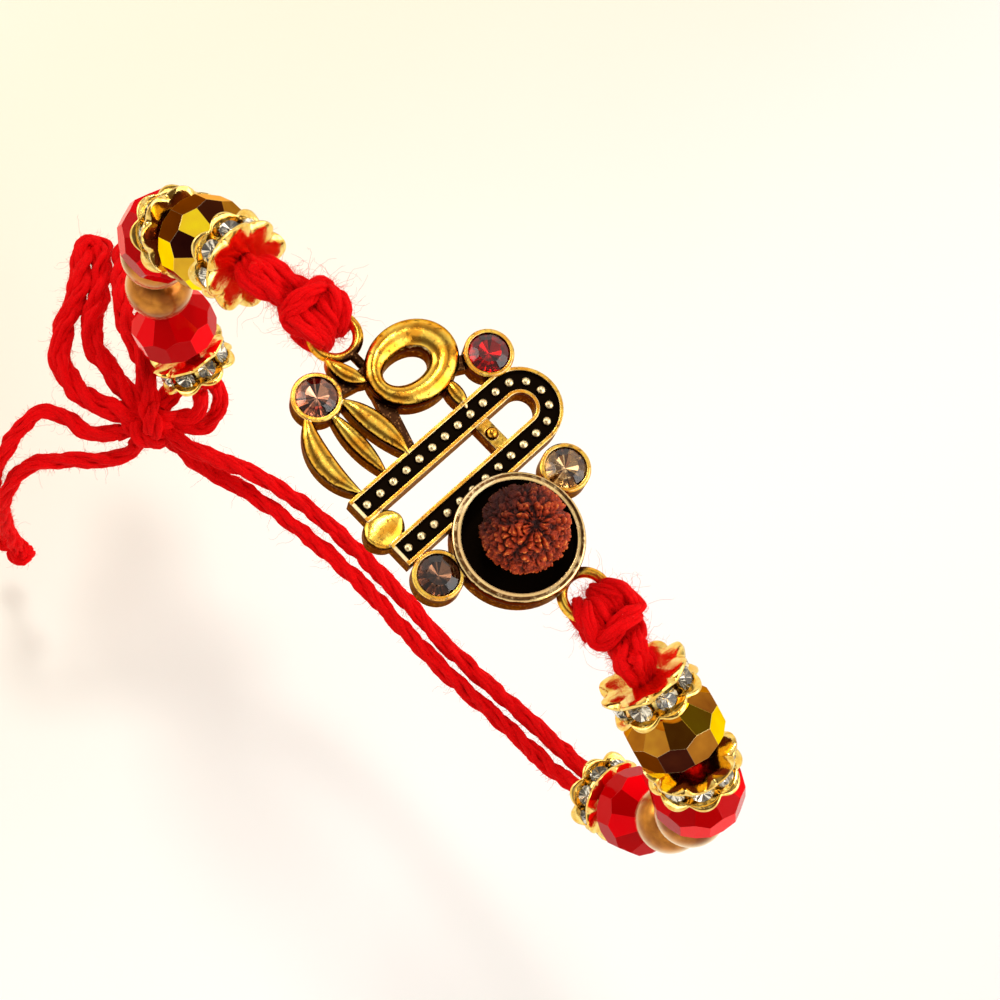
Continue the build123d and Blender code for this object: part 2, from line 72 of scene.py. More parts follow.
# Yarn routes, from the same points as the solids
TIE_KNOT = (-28.49, -5.99, -20.55)
BOW_LOOPS = {
    "bow_loop_long": [
        (-31.09, -7.52, -20.19), (-34.27, -9.38, -19.74), (-38.17, -9.18, -19.04),
        (-41.08, -6.38, -18.76), (-42.87, -2.69, -19.16), (-45.17, -0.28, -20.05),
        (-47.57, 1.90, -21.26), (-46.17, 3.30, -21.26), (-43.77, 1.12, -20.16),
        (-41.08, -1.68, -19.04), (-39.17, -4.59, -18.46), (-36.57, -5.60, -18.65),
        (-31.44, -5.85, -19.86),
    ],
    "bow_loop_short": [
        (-30.52, -4.52, -18.84), (-32.79, -2.88, -16.94), (-36.37, -1.90, -16.75),
        (-39.29, -0.20, -17.25), (-41.89, 2.21, -18.57), (-44.07, 4.20, -20.16),
        (-42.67, 5.60, -20.05), (-40.49, 3.81, -18.65), (-37.69, 1.82, -17.36),
        (-33.57, 0.42, -19.27), (-29.88, -1.20, -20.16), (-29.33, -3.07, -20.32),
    ],
}
TIE_ENDS = {
    "tie_end_long": [
        (-29.97, -8.47, -21.53), (-31.49, -11.00, -22.53), (-35.60, -11.59, -21.78),
        (-37.20, -13.41, -21.78), (-36.81, -16.41, -22.59), (-36.50, -18.90, -24.58),
        (-36.61, -20.19, -28.97), (-36.92, -20.41, -35.47), (-36.22, -19.91, -41.99),
        (-36.72, -20.41, -48.49),
    ],
    "tie_end_short": [
        (-28.32, -8.01, -22.83), (-28.18, -9.60, -24.63), (-31.91, -13.61, -24.58),
        (-34.62, -17.00, -25.19), (-34.62, -19.60, -27.57), (-34.71, -20.89, -31.97),
        (-34.51, -21.20, -37.99), (-33.42, -21.00, -43.59),
    ],
}
END_KNOTS = {"end_knot_long": (-36.85, -20.54, -50.13), "end_knot_short": (-33.10, -20.94, -45.21)}
BACK_YARN = {
    "back_yarn_left_1": [
        (-26.79, -1.00, -17.19), (-25.87, -1.60, -18.46), (-25.87, -2.60, -19.55),
        (-26.67, -3.64, -19.86),
    ],
    "back_yarn_left_2": [
        (-26.67, 0.63, -17.35), (-26.07, 0.90, -18.26), (-24.87, -0.20, -20.75),
        (-24.98, -2.18, -22.07), (-26.50, -3.84, -21.41),
    ],
    "back_yarn_right_1": [
        (26.57, -0.86, -17.13), (24.49, -1.20, -19.39), (17.51, -0.58, -22.61),
        (8.02, -1.10, -24.30), (-2.00, -0.69, -24.59), (-12.01, -1.62, -24.49),
        (-18.40, -2.89, -24.71), (-22.39, -4.61, -24.09), (-25.89, -5.40, -22.06),
    ],
    "back_yarn_right_2": [
        (26.54, 0.79, -17.16), (24.60, 1.00, -19.20), (17.20, 1.31, -22.20),
        (7.60, 0.79, -23.90), (-2.41, 1.31, -24.09), (-11.59, 0.58, -23.61),
        (-17.78, -1.20, -22.61), (-22.81, -4.61, -20.01), (-25.53, -5.27, -20.27),
    ],
}
YARN_RINGS = {"left": (-13.955, 1.5, 18.2), "right": (15.235, 1.5, 18.2)}

# Radius of each kind of yarn and knot, and how far the strands' lines go on into the tie's knot
YARN_RADIUS = {
    "bead_cord": 0.76, "front_yarn": 1.04, "yarn_hitch": 0.92, "tie_knot": 1.15, "bow_loop": 1.12,
    "back_yarn": 0.86, "tie_end": 0.84, "end_knot": 0.78,
}
TIE_KNOT_RADIUS = 2.8
END_KNOT_RADIUS = 1.6
INTO_KNOT = 1.4

# Pearls, and rondelles with the outline of their two rims as (reach, height)
PEARL_RADIUS = 3.12
HOLE_RADIUS = 1.0
STONES_ROUND = 8
RONDELLE_PROFILE = [
    (1.06, -0.95), (1.4, -0.98), (2.4, -1.16), (3.2, -1.34), (3.72, -1.44), (3.95, -1.40),
    (4.0, -1.22), (3.86, -1.06), (3.4, -0.98), (2.75, -0.9), (2.45, -0.6), (2.45, 0.6),
    (2.75, 0.9), (3.4, 0.98), (3.86, 1.06), (4.0, 1.22), (3.95, 1.40), (3.72, 1.44),
    (3.2, 1.34), (2.4, 1.16), (1.4, 0.98), (1.06, 0.95),
]

# Cut stones of the charm: the tints of their glass, their places and the dark and bright tints of their
# foils, which paint reflections facet by facet
GLASS_TINTS = {
    "champagne_stone": (0.92, 0.76, 0.62, 1),
    "crimson_stone": (0.80, 0.05, 0.07, 1),
    "smoky_stone": (0.72, 0.55, 0.42, 1),
}
CharmStone = namedtuple("CharmStone", "name x y slot foil dark bright")
CHARM_STONES = [
    CharmStone(
        name="stone_left", x=-10.795, y=-3.525, slot="champagne_stone",
        foil="champagne_foil", dark=(0.05, 0.015, 0.01, 1), bright=(1.0, 0.60, 0.44, 1),
    ),
    CharmStone(
        name="stone_right_upper", x=6.777, y=7.367, slot="champagne_stone",
        foil="green_gold_foil", dark=(0.18, 0.08, 0.02, 1), bright=(1.0, 0.82, 0.50, 1),
    ),
    CharmStone(
        name="stone_red", x=-4.379, y=9.566, slot="crimson_stone",
        foil="crimson_foil", dark=(0.20, 0.01, 0.02, 1), bright=(0.80, 0.08, 0.08, 1),
    ),
    CharmStone(
        name="stone_right_lower", x=6.295, y=-6.438, slot="smoky_stone",
        foil="smoky_foil", dark=(0.05, 0.02, 0.01, 1), bright=(0.50, 0.30, 0.20, 1),
    ),
]

# Smooth leaves of the charm: where they start and end, their width and bow, and their top over the face
Leaf = namedtuple("Leaf", "start end width bow top")
LEAVES = [
    Leaf(start=(-9.703, -2.328), end=(-2.335, -1.215), width=1.89, bow=0.357, top=0.105),
    Leaf(start=(-9.598, -3.525), end=(-2.335, -3.630), width=1.491, bow=0.0, top=-0.147),
    Leaf(start=(-10.585, -4.827), end=(-2.335, -6.129), width=1.89, bow=-1.26, top=0.0),
    Leaf(start=(-9.020, 0.731), end=(-12.854, -0.680), width=1.491, bow=0.355, top=-0.1),
    Leaf(start=(0.700, -5.193), end=(0.700, -8.725), width=3.162, bow=0.0, top=-0.12),
    Leaf(start=(-5.470, 5.273), end=(-2.110, 4.980), width=1.305, bow=0.158, top=-0.1),
]


# Nodes
class Amount:
    """A number that nodes work out. It can be used in sums with others and with plain numbers."""

    def __init__(self, maker, socket):
        self.maker = maker
        self.socket = socket

    def math(self, operation, *others):
        values = dict(enumerate((self, *others)))
        return self.maker.node("Math", {"operation": operation}, values)

    def __add__(self, other):
        return self.math("ADD", other)

    def __sub__(self, other):
        return self.math("SUBTRACT", other)

    def __mul__(self, other):
        return self.math("MULTIPLY", other)

    def __truediv__(self, other):
        return self.math("DIVIDE", other)

    def __pow__(self, other):
        return self.math("POWER", other)

    def __rsub__(self, other):
        return self * -1 + other

    __radd__ = __add__
    __rmul__ = __mul__

    def ease(self, low, high):
        """0 at one value, 1 at another, and smooth between them."""
        values = {"Value": self, "From Min": low, "From Max": high}
        return self.maker.node("MapRange", {"interpolation_type": "SMOOTHSTEP"}, values)

    def between(self, low, high, soft):
        """1 between two values and 0 beyond them, with soft borders."""
        return self.ease(low - soft, low + soft) * self.ease(high + soft, high - soft)


class NodeMaker:
    """Makes and links the nodes of one tree."""

    def __init__(self, tree):
        self.tree = tree

    def fill(self, node, values):
        for key, value in values.items():
            socket = node.inputs[key]
            if isinstance(value, Amount):
                self.tree.links.new(value.socket, socket)
            else:
                socket.default_value = value

    def node(self, kind, settings=None, values=None, out=0):
        """Makes a node, gives it its settings and then its values or links, and returns one output."""
        made = self.tree.nodes.new("ShaderNode" + kind)
        for key, value in (settings or {}).items():
            # A ramp has two stops at first, and the others are added to them.
            if key == "stops":
                ramp = made.color_ramp.elements
                for stop, (position, colour) in zip([ramp[0], ramp[1]], value[:2]):
                    stop.position = position
                    stop.color = colour
                for position, colour in value[2:]:
                    ramp.new(position).color = colour
            else:
                setattr(made, key, value)
        self.fill(made, values or {})
        return Amount(self, made.outputs[out])

    def place(self):
        return self.node("TexCoord", out="Object")


# Camera, floor and light
def aim_camera():
    """Camera over the charm, turned so that the bracelet runs from the upper left to the lower right."""
    place = Vector((22.328, -47.398, 170.066))
    lens = bpy.data.cameras.new("camera")
    lens.lens = 72.1
    lens.sensor_width = 36
    lens.clip_start = 0.005
    camera = bpy.data.objects.new("camera", lens)
    scene.collection.objects.link(camera)
    right = Vector((0.6922, 0.7059, 0.1503)).normalized()
    back = Vector((0.1079, -0.3071, 0.9455)).normalized()
    up = back.cross(right).normalized()
    right = up.cross(back)
    turn = Matrix((right, up, back)).transposed().to_4x4()
    camera.matrix_world = Matrix.Translation(place * MM) @ turn
    scene.camera = camera


def lay_floor():
    """Wide plain floor far under the bracelet."""
    shape = bmesh.new()
    bmesh.ops.create_grid(shape, x_segments=1, y_segments=1, size=FLOOR_HALF_WIDTH)
    bmesh.ops.translate(shape, vec=(0, 0, FLOOR_HEIGHT), verts=shape.verts)
    mesh = bpy.data.meshes.new("floor")
    shape.to_mesh(mesh)
    shape.free()
    mesh.transform(Matrix.Scale(MM, 4))
    mesh.materials.append(pale_floor())
    floor = bpy.data.objects.new("floor", mesh)
    scene.collection.objects.link(floor)


def soft_light(name, place, aim, size, power, colour):
    """Square studio light at a place in millimetres, aimed at a point."""
    lamp = bpy.data.lights.new(name, "AREA")
    lamp.size = size * MM
    lamp.energy = power
    lamp.color = colour
    made = bpy.data.objects.new(name, lamp)
    made.location = Vector(place) * MM
    made.rotation_euler = (Vector(aim) - Vector(place)).to_track_quat("-Z", "Y").to_euler()
    scene.collection.objects.link(made)


def wide_light(name, place, strength, colour):
    """Soft light from a direction, the same all over the floor."""
    lamp = bpy.data.lights.new(name, "SUN")
    lamp.energy = strength
    lamp.angle = math.radians(60)
    lamp.color = colour
    made = bpy.data.objects.new(name, lamp)
    made.rotation_euler = (-Vector(place)).to_track_quat("-Z", "Y").to_euler()
    scene.collection.objects.link(made)


def light_studio():
    """Wide soft light from the right, small lamps for gloss, a bright horizon and a dark ceiling."""
    wide_light("key", (300, 190, 300), 1.95, (1.0, 0.985, 0.97))
    soft_light("panel", (-60, 70, 400), (0, 0, 10), 240, 0.14, (1.0, 0.96, 0.90))
    soft_light("gloss", (-182, 99, 371), (0, 0, 10), 70, 0.42, (1.0, 0.98, 0.95))
    soft_light("side", (-320, -120, 170), (0, 0, 0), 200, 0.35, (1.0, 0.95, 0.88))
    world = bpy.data.worlds.new("studio")
    world.use_nodes = True
    studio = NodeMaker(world.node_tree)
    height = studio.node("SeparateXYZ", None, {0: studio.place()}, out="Z")
    stops = [(0.30, (1.0, 0.96, 0.90, 1)), (0.80, (0.10, 0.07, 0.045, 1))]
    sky = studio.node("ValToRGB", {"stops": stops}, {0: height})
    studio.fill(studio.tree.nodes["Background"], {"Color": sky, "Strength": 1.1})
    scene.world = world
    scene.view_settings.view_transform = "Standard"
    scene.view_settings.look = "None"


# Materials
class Finish(NodeMaker):
    """A material, with its nodes and the sockets of its shader."""

    def __init__(self, name, **sockets):
        self.material = bpy.data.materials.new(name)
        self.material.use_nodes = True
        super().__init__(self.material.node_tree)
        self.shader = self.tree.nodes["Principled BSDF"]
        self.set({key.replace("_", " "): value for key, value in sockets.items()})

    def set(self, values):
        self.fill(self.shader, values)

    def part_of(self, vector, axis):
        return self.node("SeparateXYZ", None, {0: vector}, out=axis)

    def noise(self, per_mm, detail=3.0, roughness=0.55, place=None):
        values = {
            "Vector": place or self.place(),
            "Scale": per_mm / MM,
            "Detail": detail,
            "Roughness": roughness,
        }
        return self.node("TexNoise", None, values)

    def blend(self, share, first, second):
        """Mix of two colours, which go to sockets 6 and 7."""
        return self.node("Mix", {"data_type": "RGBA"}, {0: share, 6: first, 7: second}, out=2)

    def bump(self, height, depth_mm, strength=1.0, normal=None):
        values = {"Strength": strength, "Distance": depth_mm * MM, "Height": height}
        if normal:
            values["Normal"] = normal
        return self.node("Bump", None, values)

    def rounded(self, radius_mm):
        """Normal that softens sharp edges."""
        return self.node("Bevel", {"samples": 4}, {"Radius": radius_mm * MM})

    def edges(self, rounded):
        """1 along edges, 0 on flats."""
        flat = self.node("NewGeometry", out="True Normal")
        same = self.node("VectorMath", {"operation": "DOT_PRODUCT"}, {0: rounded, 1: flat}, out="Value")
        return same.ease(0.995, 0.86)

    def attribute(self, name):
        return self.node("Attribute", {"attribute_name": name}, out="Fac")


def distance(across, along):
    """How far a place is from a middle."""
    return (across * across + along * along) ** 0.5


def antique_gold():
    """Worn gold over blackened metal: dark on the sides, in the sunk ground and inside the cup, with
    painted shade on the steep flanks.
    """
    finish = Finish("antique_gold", Specular_IOR_Level=0.03, Specular_Tint=(0.80, 0.46, 0.20, 1))
    bright = (1.0, 0.64, 0.09, 1)
    deep = (0.92, 0.40, 0.03, 1)
    pale = (1.0, 0.78, 0.42, 1)
    rubbed = (1.0, 0.82, 0.46, 1)
    tarnished = (0.12, 0.04, 0.008, 1)
    grooved = (0.11, 0.040, 0.009, 1)
    flank_shade_brown = (0.030, 0.010, 0.003, 1)
    side_brown = (0.045, 0.016, 0.006, 1)
    copper_red = (0.50, 0.22, 0.07, 1)
    back_brown = (0.34, 0.15, 0.035, 1)
    back_brass = (0.80, 0.44, 0.11, 1)
    blackened = (0.004, 0.002, 0.001, 1)

    place = finish.place()
    across = finish.part_of(place, "X") / MM
    along = finish.part_of(place, "Y") / MM
    height = finish.part_of(place, "Z") / MM - CHARM_FACE
    facing_up = finish.part_of(finish.node("TexCoord", out="Normal"), "Z")
    blotch = finish.noise(0.7, 3, 0.5, place)
    spots = finish.noise(1.7, 5, 0.65, place)
    grain = finish.noise(4.5, 5, 0.6, place)
    rounded = finish.rounded(0.14)
    edge = finish.edges(rounded)

    casting = across.between(-12.2, 13.8, 0.2)
    low = (height + (spots - 0.5) * 0.6).ease(-0.10, -0.36) * casting
    cup_reach = distance(across - CUP[0], along - CUP[1])
    arch_reach = distance(across - ARCH[0], (along - ARCH[1]).math("MAXIMUM", 0.0))
    in_cup = cup_reach.ease(CUP_BORE + 0.06, CUP_BORE - 0.06) * height.ease(0.5, 0.3)
    on_rim = cup_reach.ease(CUP_OUTSIDE + 0.05, CUP_OUTSIDE - 0.05) * height.ease(0.25, 0.4)
    groove = on_rim * cup_reach.between(*RIM_GROOVE, 0.04)
    beads = arch_reach.between(*BEADED_BAND, 0.05) * height.ease(-0.32, -0.2)
    tarnish = spots.ease(0.54, 0.66) * 0.8
    copper = grain.ease(0.52, 0.66) * spots.ease(0.42, 0.56)
    # Steep flanks, which face away from overhead, are painted dark brown: painted shade, with some
    # patina.
    painted_flank_shade = (facing_up + (spots - 0.5) * 0.9).ease(0.66, 0.46) * casting
    back = facing_up.ease(-0.3, -0.7) * casting
    worn = (spots * 0.35 + blotch * 0.65).ease(0.36, 0.56)
    ground = height.ease(-0.33, -0.38) * height.ease(-0.46, -0.42)
    black = (ground * casting + in_cup).math("MINIMUM", 1.0) * (1 - back)

    gold = finish.blend(blotch.ease(0.38, 0.64), deep, bright)
    layers = [
        (tarnish, tarnished),
        (beads, pale),
        (on_rim * 0.7, pale),
        (groove * spots.ease(0.80, 0.45), grooved),
        (edge * grain.ease(0.28, 0.5), rubbed),
        # painted shade on the steep flanks
        (painted_flank_shade, flank_shade_brown),
    ]
    for share, layer in layers:
        gold = finish.blend(share, gold, layer)
    colour = finish.blend(low, gold, finish.blend(copper, side_brown, copper_red))
    colour = finish.blend(back, colour, finish.blend(worn, back_brown, back_brass))
    finish.set({
        "Base Color": finish.blend(black, colour, blackened),
        "Metallic": 1 - black,
        "Roughness": 0.14 + blotch * 0.12 + low * 0.16 + tarnish * 0.2 + beads * 0.12 + back * 0.12,
        "Normal": finish.bump(grain * 0.2 + blotch * 0.8, 0.10, 0.5, rounded),
    })
    return finish.material


def bright_gold():
    finish = Finish("bright_gold", Metallic=1.0)
    grain = finish.noise(1.6, 4, 0.6)
    colour = finish.blend(grain.ease(0.35, 0.65), (0.93, 0.56, 0.10, 1), (1.0, 0.76, 0.25, 1))
    finish.set({
        "Base Color": colour,
        "Roughness": 0.07 + grain * 0.12,
        "Normal": finish.bump(grain, 0.05, 0.6),
    })
    return finish.material


def facet_share(finish):
    """A number for each facet, the same all over it, from the way it faces."""
    facing = finish.node("NewGeometry", out="True Normal")
    stretched = finish.node("VectorMath", {"operation": "SCALE"}, {0: facing, "Scale": 3.1})
    stepped = finish.node("VectorMath", {"operation": "SNAP"}, {0: stretched, 1: (0.05, 0.05, 0.05)})
    return finish.node("TexWhiteNoise", None, {0: stepped}, out="Value")


def bronze_crystal():
    finish = Finish("bronze_crystal", Metallic=1.0, Roughness=0.04, Specular_Tint=(1.0, 0.62, 0.22, 1))
    # painted reflections: each facet gets its own colour, from dark maroon to bright yellow, as the
    # facets of a coated crystal catch the light
    share = facet_share(finish)
    cloud = finish.noise(0.5, 2)
    share = (share + (cloud - 0.5) * 0.25).math("MINIMUM", 1.0)
    stops = [
        (0.0, (0.045, 0.007, 0.005, 1)),
        (1.0, (1.0, 0.82, 0.012, 1)),
        (0.30, (0.14, 0.030, 0.008, 1)),
        (0.55, (0.46, 0.18, 0.018, 1)),
        (0.8, (0.88, 0.50, 0.03, 1)),
    ]
    ramp = finish.node("ValToRGB", {"stops": stops}, {0: share})
    rounded = finish.rounded(0.06)
    finish.set({
        # painted highlight: paler along the edges
        "Base Color": finish.blend(finish.edges(rounded) * 0.6, ramp, (0.9, 0.75, 0.5, 1)),
        "Normal": rounded,
    })
    return finish.material


def red_crystal():
    finish = Finish("red_crystal", Roughness=0.04, Specular_IOR_Level=0.05)
    share = facet_share(finish)
    rounded = finish.rounded(0.07)
    # painted reflections: some facets lighter red than others
    colour = finish.blend(share.ease(0.2, 0.95), (0.46, 0.0, 0.001, 1), (0.94, 0.0, 0.004, 1))
    finish.set({
        # painted highlight: lighter red along the edges
        "Base Color": finish.blend(finish.edges(rounded) * 0.3, colour, (1.0, 0.12, 0.10, 1)),
        "Normal": rounded,
    })
    return finish.material


def bronze_pearl():
    finish = Finish("bronze_pearl", Metallic=0.92, Coat_Weight=0.15, Coat_Roughness=0.1)
    cloud = finish.noise(0.35, 3)
    fine = finish.noise(14, 2)
    # painted reflection: a pale rim where the surface turns away from the view, as if it mirrored a
    # bright surround
    rim = finish.node("LayerWeight", None, {"Blend": 0.42}, out="Facing")
    body = finish.blend(cloud.ease(0.35, 0.7), (0.24, 0.06, 0.004, 1), (0.64, 0.25, 0.03, 1))
    finish.set({
        "Base Color": finish.blend(rim.ease(0.40, 0.95), body, (1.0, 0.74, 0.36, 1)),
        "Roughness": 0.2 + fine * 0.08,
        "Normal": finish.bump(fine, 0.004, 0.4),
    })
    return finish.material


def cut_glass(name, tint):
    """Clear glass, a little lighter in places."""
    lighter = tuple(min(1, 1.08 * part) for part in tint)
    finish = Finish(name, Roughness=0.0, IOR=1.56, Transmission_Weight=1.0)
    cloud = finish.noise(1.2, 2)
    finish.set({"Base Color": finish.blend(cloud, tint, lighter)})
    return finish.material


def foil(name, dark, bright):
    """Mirror behind a cut stone, darker in some facets than in others: painted reflections."""
    finish = Finish(name, Metallic=1.0, Roughness=0.14)
    share = facet_share(finish)
    finish.set({"Base Color": finish.blend(share.ease(0.25, 0.75), dark, bright)})
    return finish.material


def seed_skin():
    """Painted shade in the creases and brown on the ridges, which a painted light reddens towards +X,
    with painted highlights on the crests.
    """
    finish = Finish("rudraksha_skin", Specular_IOR_Level=0.22)
    height = finish.attribute("height")
    grain = finish.noise(5.5, 6, 0.65)
    patch = finish.noise(0.5, 3)
    side = finish.part_of(finish.place(), "X") / MM
    # painted light: lighter and redder towards +X, where the light falls, and darker towards -X
    painted_lit_side = side.ease(5.4, 9.0)
    # painted shade: near-black in the creases
    shade = (height + (grain - 0.5) * 0.6 + (patch - 0.5) * 0.6).ease(0.15, 0.9)
    # ridge colour runs from dark at -X to red-brown at +X: painted light
    ridge = finish.blend(painted_lit_side, (0.05, 0.0022, 0.0005, 1), (0.46, 0.040, 0.005, 1))
    colour = finish.blend(shade, (0.020, 0.001, 0.0003, 1), ridge)
    # painted highlight on the crests, strongest on the painted lit side
    painted_crest_highlight = (height * grain).ease(0.40, 0.62) * (0.06 + painted_lit_side * 0.74)
    colour = finish.blend(painted_crest_highlight, colour, (1.0, 0.28, 0.04, 1))
    finish.set({
        "Base Color": colour,
        "Roughness": 0.32 + grain * 0.3,
        "Normal": finish.bump(grain, 0.09, 0.9),
    })
    return finish.material


def red_yarn():
    finish = Finish(
        "red_yarn", Roughness=0.85, Sheen_Weight=0.15, Sheen_Roughness=0.4,
        Sheen_Tint=(1.0, 0.05, 0.03, 1), Specular_IOR_Level=0.1,
    )
    fibre = finish.noise(7, 4, 0.7)
    cloud = finish.noise(0.6, 3)
    colour = finish.blend(fibre.ease(0.3, 0.7), (0.58, 0.0, 0.001, 1), (0.88, 0.001, 0.002, 1))
    finish.set({
        "Base Color": finish.blend(cloud.ease(0.3, 0.75) * 0.5, colour, (0.92, 0.0, 0.002, 1)),
        "Normal": finish.bump(fibre, 0.05, 0.8),
    })
    return finish.material


def pale_floor():
    finish = Finish("pale_floor", Roughness=0.6, Specular_IOR_Level=0.2)
    place = finish.place()
    across = finish.part_of(place, "X") / MM
    cloud = finish.noise(0.006, 3, 0.5, place)
    # painted light: the floor's own cream turns to white towards +X, the side the key light comes from
    share = (across + (cloud - 0.5) * 60).ease(-75, 25)
    finish.set({"Base Color": finish.blend(share, (0.88, 0.83, 0.68, 1), (0.98, 0.98, 0.965, 1))})
    return finish.material


# Making pieces
def finished(name, shape, materials):
    """Object of a shape in millimetres, which rides on the model and stands for the node of its name."""
    mesh = bpy.data.meshes.new(f"fine_{name}")
    shape.to_mesh(mesh)
    shape.free()
    mesh.transform(Matrix.Scale(MM, 4))
    for material in materials:
        mesh.materials.append(material)
    made = bpy.data.objects.new(f"fine_{name}", mesh)
    scene.collection.objects.link(made)
    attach(made, "root")
    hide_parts(name)
    return made


def smooth(shape, angle=180):
    """Shades a shape smooth, but for edges sharper than an angle."""
    for face in shape.faces:
        face.smooth = True
    for edge in shape.edges:
        if len(edge.link_faces) == 2 and edge.calc_face_angle() > math.radians(angle):
            edge.smooth = False


def corners(geom):
    """The vertices among the parts of a shape."""
    return [part for part in geom if isinstance(part, bmesh.types.BMVert)]


# Yarn
def drawn_line(splines, bevel_radius, sides):
    """Mesh round a few lines, each a list of (place, thickness) pairs."""
    curve = bpy.data.curves.new("line", "CURVE")
    curve.dimensions = "3D"
    curve.bevel_depth = bevel_radius
    curve.bevel_resolution = sides
    curve.use_fill_caps = True
    for points in splines:
        spline = curve.splines.new("POLY")
        spline.points.add(len(points) - 1)
        for point, (place, thickness) in zip(spline.points, points):
            point.co = (*place, 1)
            point.radius = thickness
    holder = bpy.data.objects.new("line", curve)
    scene.collection.objects.link(holder)
    mesh = bpy.data.meshes.new_from_object(holder)
    bpy.data.objects.remove(holder)
    bpy.data.curves.remove(curve)
    return mesh


def smooth_route(route):
    """Points along the smooth line of a route."""
    curve = bpy.data.curves.new("route", "CURVE")
    curve.dimensions = "3D"
    spline = curve.splines.new("NURBS")
    spline.points.add(len(route) - 1)
    for point, place in zip(spline.points, route):
        point.co = (*place, 1)
    spline.order_u = 3
    spline.use_endpoint_u = True
    spline.resolution_u = 14
    holder = bpy.data.objects.new("route", curve)
    scene.collection.objects.link(holder)
    mesh = bpy.data.meshes.new_from_object(holder)
    points = [vertex.co.copy() for vertex in mesh.vertices]
    bpy.data.objects.remove(holder)
    bpy.data.curves.remove(curve)
    bpy.data.meshes.remove(mesh)
    return points


def evenly(points, step):
    """The same line with its points a step apart."""
    lengths = [0.0]
    for before, after in zip(points, points[1:]):
        lengths.append(lengths[-1] + (after - before).length)
    count = max(2, round(lengths[-1] / step))
    places = []
    index = 0
    for number in range(count + 1):
        target = lengths[-1] * number / count
        while index < len(points) - 2 and lengths[index + 1] < target:
            index += 1
        span = lengths[index + 1] - lengths[index] or 1
        places.append(points[index].lerp(points[index + 1], (target - lengths[index]) / span))
    return places


def way_at(points, index):
    """Direction of a line at one of its points."""
    return (points[min(index + 1, len(points) - 1)] - points[max(index - 1, 0)]).normalized()


def carried_frames(points):
    """For each point the two directions across the line, carried along it without twist."""
    across = None
    frames = []
    for index in range(len(points)):
        way = way_at(points, index)
        if across is None:
            across = way.orthogonal().normalized()
        across = (across - way * across.dot(way)).normalized()
        frames.append((across.copy(), way.cross(across)))
    return frames


def full(share):
    """Thickness of a strand that is nowhere thinner."""
    return 1.0


def swelling(share):
    """Thickness of the squeezed yarn, which widens at both its ends."""
    edge = min(share, 1 - share)
    return 1 + 0.85 * max(0.0, 1 - edge / 0.05)


def from_hole(share):
    """Thickness of a strand that comes out of a bead's hole."""
    return 0.5 + 0.5 * min(1.0, share / 0.16)


def tuft(draw, points, index, reach_out, length, joints):
    """One loose fibre that starts at the surface of a strand and wanders off."""
    across, aside = carried_frames(points[max(0, index - 1):index + 2])[0]
    angle = draw.uniform(0, 2 * math.pi)
    outward = across * math.cos(angle) + aside * math.sin(angle)
    way = way_at(points, index)
    heading = (outward * draw.uniform(0.1, 0.9) + way * draw.uniform(-1, 1)).normalized()
    place = points[index] + outward * reach_out
    fibre = []
    for joint in range(joints):
        fibre.append((place.copy(), 1 - 0.6 * joint / joints))
        heading = (heading + Vector([draw.uniform(-0.6, 0.6) for _ in range(3)])).normalized()
        place = place + heading * length / (joints - 1)
    return fibre


def stray_fibres(draw, points, thickness, radius, short_count, long_count, longest):
    """Loose fibres at chance places along a strand: the short ones and then the long ones."""
    fibres = []
    last = len(points) - 1
    for number in range(int(short_count) + int(long_count)):
        index = draw.randrange(last + 1)
        reach_out = 0.85 * radius * thickness(index / last)
        shortest, longest_here, joints = (0.3, 1.0, 4) if number < short_count else (1.4, longest, 9)
        length = draw.uniform(shortest, longest_here) * min(1.0, radius)
        fibres.append(tuft(draw, points, index, reach_out, length, joints))
    return fibres


def add_yarn(
    shape, seed, route, radius, thickness=full, pitch=11.0, fuzz=14, curls=1.2, bundles=6, longest=3.2,
):
    """Adds loosely twisted wool yarn of three plies with stray fibres, along a route.

    A ply turns once in a pitch. Fuzz and curls are the short and long fibres to the millimetre.
    Returns its line.
    """
    draw = random.Random(seed)
    step = 0.3
    points = evenly(smooth_route(route), step)
    frames = carried_frames(points)
    count = len(points) - 1
    length = count * step
    plies = 3
    ply_radius = 0.56 * radius
    ply_reach = 0.44 * radius
    bundle_radius = 0.49 * ply_radius
    fibre_radius = 0.012
    turn = draw.uniform(0, 2 * math.pi)
    lines = []
    for ply in range(plies):
        for bundle in range(bundles):
            line = []
            wander = draw.uniform(0, 100)
            inner = draw.uniform(0.45, 0.7) * ply_radius
            for index, (point, (across, aside)) in enumerate(zip(points, frames)):
                run = index * step
                thick = thickness(index / count)
                angle = turn + 2 * math.pi * (ply / plies + run / pitch)
                angle += 0.5 * noise.noise((run * 0.25, ply, 1))
                own = 2 * math.pi * (bundle / bundles - run / (0.8 * pitch))
                own += noise.noise((run * 0.5, wander, 2))
                reach = ply_reach * thick * (1 + 0.3 * noise.noise((run * 0.6, wander, ply)))
                own_reach = inner * thick * (1 + 0.5 * noise.noise((run * 0.9, wander, 7)))
                offset = across * (reach * math.cos(angle) + own_reach * math.cos(angle + own))
                offset += aside * (reach * math.sin(angle) + own_reach * math.sin(angle + own))
                swell = 1 + 0.4 * noise.noise((run * 1.3, wander, 3))
                line.append((point + offset, thick * swell))
            lines.append(line)
    fibres = stray_fibres(draw, points, thickness, radius, fuzz * length, curls * length, longest)
    for mesh in (drawn_line(lines, bundle_radius, 1), drawn_line(fibres, fibre_radius, 0)):
        shape.from_mesh(mesh)
        bpy.data.meshes.remove(mesh)
    return points


def spun_yarn(name, route, radius, **spin):
    """The yarn that stands for one solid. Returns the piece and its line."""
    shape = bmesh.new()
    points = add_yarn(shape, name, route, radius, **spin)
    smooth(shape)
    return finished(name, shape, [YARN]), points


